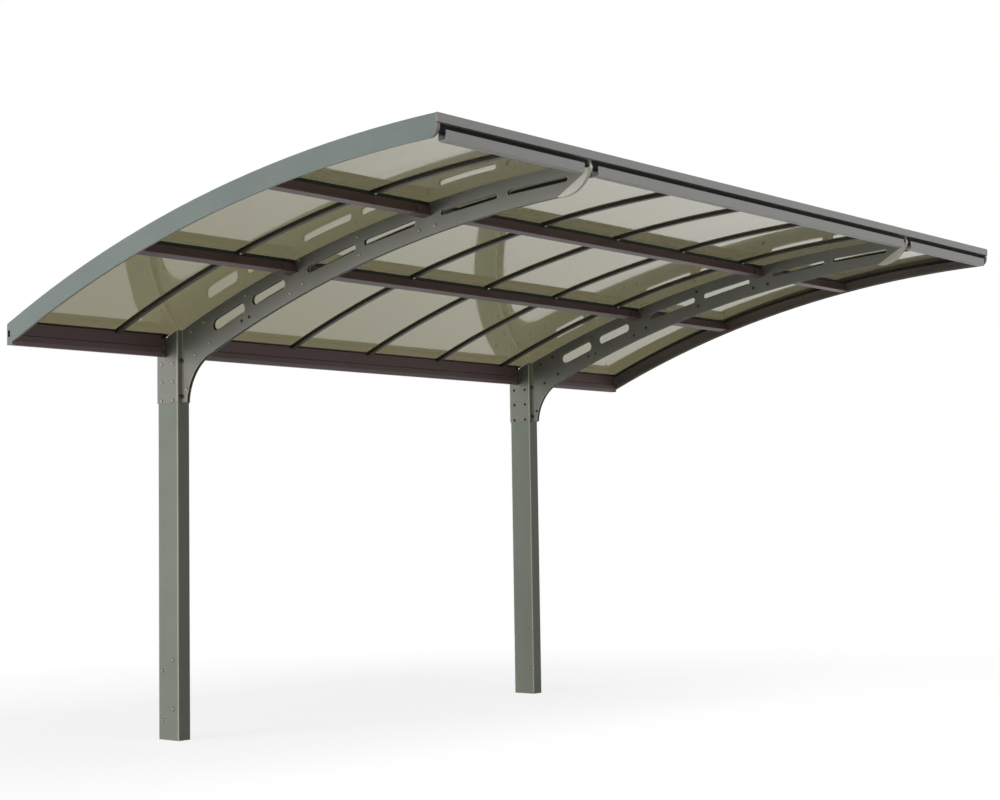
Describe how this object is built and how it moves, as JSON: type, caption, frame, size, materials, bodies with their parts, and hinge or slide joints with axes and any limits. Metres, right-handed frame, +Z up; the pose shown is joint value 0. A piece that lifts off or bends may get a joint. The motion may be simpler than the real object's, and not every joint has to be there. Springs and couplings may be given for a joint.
{
  "type": "cantilever carport",
  "caption": "Cantilever carport: posts near the low rear side carry slotted arms, purlins and an arched roof of clear bronze panels between curved end fascias.",
  "frame": {"origin": "centre of the left post's foot, on the ground", "axes": "+X along the carport from the left end to the right end, -Y towards the high front edge, +Z up"},
  "size_m": [4.96, 2.862, 2.693],
  "materials": {
    "post_aluminium": "satin grey powder coat",
    "foot_metal": "dull zinc grey",
    "arm_aluminium": "satin grey powder coat",
    "fascia_aluminium": "satin grey powder coat",
    "front_aluminium": "satin grey powder coat",
    "dark_bronze_aluminium": "satin dark bronze powder coat",
    "bar_aluminium": "satin dark bronze powder coat",
    "bronze_clear_sheet": "clear, tinted bronze",
    "cap_plastic": "smooth matte",
    "screw_steel": "smooth domed screw heads",
    "seal_rubber": "matte black"
  },
  "bodies": {
    "root": {"front_beam": "front_aluminium", "front_cover_left": "front_aluminium", "front_cover_middle": "front_aluminium", "front_cover_right": "front_aluminium", "front_purlin_left": "dark_bronze_aluminium", "front_purlin_middle": "dark_bronze_aluminium", "front_purlin_right": "dark_bronze_aluminium", "glazing_bar_1": "bar_aluminium", "glazing_bar_2": "bar_aluminium", "glazing_bar_3": "bar_aluminium", "glazing_bar_4": "bar_aluminium", "glazing_bar_5": "bar_aluminium", "glazing_bar_6": "bar_aluminium", "glazing_bar_7": "bar_aluminium", "left_arm_cap": "cap_plastic", "left_arm_left_sheet": "arm_aluminium", "left_arm_right_sheet": "arm_aluminium", "left_end_rail": "dark_bronze_aluminium", "left_fascia": "fascia_aluminium", "left_post": "post_aluminium", "left_post_foot": "foot_metal", "purlin_shoes": "dark_bronze_aluminium", "rear_beam_cleats": "dark_bronze_aluminium", "rear_beam_left": "dark_bronze_aluminium", "rear_beam_middle": "dark_bronze_aluminium", "rear_beam_right": "dark_bronze_aluminium", "rear_purlin_left": "dark_bronze_aluminium", "rear_purlin_middle": "dark_bronze_aluminium", "rear_purlin_right": "dark_bronze_aluminium", "right_arm_cap": "cap_plastic", "right_arm_left_sheet": "arm_aluminium", "right_arm_right_sheet": "arm_aluminium", "right_end_rail": "dark_bronze_aluminium", "right_fascia": "fascia_aluminium", "right_post": "post_aluminium", "right_post_foot": "foot_metal", "roof_panel_1": "bronze_clear_sheet", "roof_panel_2": "bronze_clear_sheet", "roof_panel_3": "bronze_clear_sheet", "roof_panel_4": "bronze_clear_sheet", "roof_panel_5": "bronze_clear_sheet", "roof_panel_6": "bronze_clear_sheet", "roof_panel_7": "bronze_clear_sheet", "roof_panel_8": "bronze_clear_sheet", "roof_seals": "seal_rubber"}
  },
  "joints": []
}
